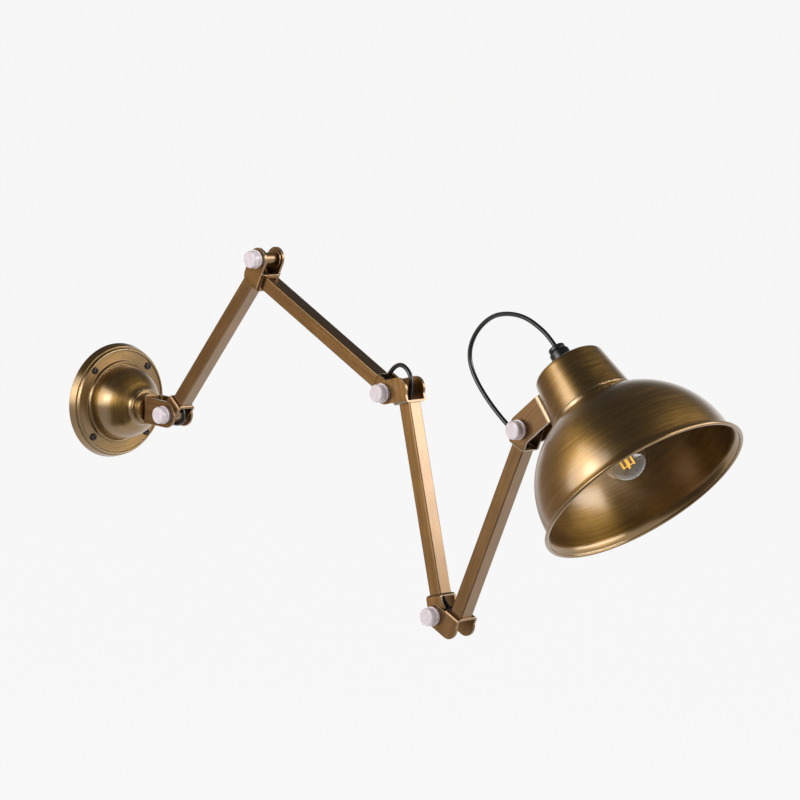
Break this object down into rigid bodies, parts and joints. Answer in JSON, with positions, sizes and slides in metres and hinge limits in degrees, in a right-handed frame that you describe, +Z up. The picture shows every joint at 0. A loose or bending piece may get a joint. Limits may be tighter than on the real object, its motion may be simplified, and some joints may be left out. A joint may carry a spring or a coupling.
{
  "type": "adjustable wall lamp",
  "caption": "Antique-brass wall lamp: domed rose, square-tube arms folding on friction pivots, dome shade with a clear bulb, and a black cable looping past each joint.",
  "frame": {"origin": "centre of the wall rose's back face, on the wall", "axes": "+X out of the wall, +Y along the wall, +Z up"},
  "size_m": [0.8702, 0.2134, 0.3601],
  "materials": {
    "antique_brass": "brushed antique brass, lacquered",
    "dark_steel": "blackened steel",
    "zinc_steel": "zinc-plated steel",
    "lilac_plastic": "milky translucent plastic",
    "black_cable": "smooth black sheath",
    "black_plastic": "black moulded plastic",
    "white_plastic": "white moulded plastic",
    "clear_glass": "clear glass",
    "bright_cap": "nickel-plated screw cap",
    "yellow_filament": "yellow coated filament"
  },
  "bodies": {
    "base": {"base_clevis": "antique_brass", "cable_base": "black_cable", "cable_loop_1": "black_cable", "cover_screws": "dark_steel", "joint_1_bolt": "dark_steel", "joint_1_cap": "lilac_plastic", "joint_1_nut": "zinc_steel", "nipple_nuts": "zinc_steel", "nose_collar": "antique_brass", "nose_nipple": "zinc_steel", "terminal_block": "white_plastic", "wall_cover": "antique_brass", "wall_pan": "antique_brass"},
    "arm_1": {"arm_1_far_bracket": "antique_brass", "arm_1_near_bracket": "antique_brass", "arm_1_tube": "antique_brass", "cable_loop_2": "black_cable", "cable_run_1": "black_cable", "joint_1_sleeve": "antique_brass", "joint_2_sleeve": "antique_brass"},
    "arm_2": {"arm_2_far_bracket": "antique_brass", "arm_2_near_bracket": "antique_brass", "arm_2_tube": "antique_brass", "cable_loop_3": "black_cable", "cable_run_2": "black_cable", "joint_2_bolt": "dark_steel", "joint_2_cap": "lilac_plastic", "joint_2_nut": "zinc_steel", "joint_3_sleeve": "antique_brass"},
    "arm_3": {"arm_3_far_bracket": "antique_brass", "arm_3_near_bracket": "antique_brass", "arm_3_tube": "antique_brass", "cable_loop_4": "black_cable", "cable_run_3": "black_cable", "joint_3_bolt": "dark_steel", "joint_3_cap": "lilac_plastic", "joint_3_nut": "zinc_steel", "joint_4_sleeve": "antique_brass"},
    "arm_4": {"arm_4_far_bracket": "antique_brass", "arm_4_near_bracket": "antique_brass", "arm_4_tube": "antique_brass", "cable_loop_5": "black_cable", "cable_run_4": "black_cable", "joint_4_bolt": "dark_steel", "joint_4_cap": "lilac_plastic", "joint_4_nut": "zinc_steel", "joint_5_sleeve": "antique_brass"},
    "shade_head": {"bracket_rivets": "antique_brass", "bulb_cap": "bright_cap", "bulb_filaments": "yellow_filament", "bulb_glass": "clear_glass", "cable_tail": "black_cable", "cord_grip": "black_plastic", "joint_5_bolt": "dark_steel", "joint_5_cap": "lilac_plastic", "joint_5_nut": "zinc_steel", "lampholder": "black_plastic", "shade": "antique_brass", "shade_bracket": "antique_brass"}
  },
  "joints": [
    {"name": "base_pivot", "type": "hinge", "parent": "base", "child": "arm_1", "pos_m": [0.10665, 0, 0], "axis": [0, -1, 0], "range_deg": [-90, 35], "deforming": ["cable_loop_1"]},
    {"name": "upper_elbow", "type": "hinge", "parent": "arm_1", "child": "arm_2", "pos_m": [0.25031, 0, 0.18723], "axis": [0, -1, 0], "range_deg": [-15, 120], "deforming": ["cable_loop_2"]},
    {"name": "middle_elbow", "type": "hinge", "parent": "arm_2", "child": "arm_3", "pos_m": [0.4511, 0, 0.07309], "axis": [0, -1, 0], "range_deg": [-70, 50], "deforming": ["cable_loop_3"]},
    {"name": "lower_elbow", "type": "hinge", "parent": "arm_3", "child": "arm_4", "pos_m": [0.53768, 0, -0.14102], "axis": [0, -1, 0], "range_deg": [-80, 30], "deforming": ["cable_loop_4"]},
    {"name": "shade_pivot", "type": "hinge", "parent": "arm_4", "child": "shade_head", "pos_m": [0.64331, 0, 0.06437], "axis": [0, -1, 0], "range_deg": [-45, 50], "deforming": ["cable_loop_5"]}
  ]
}
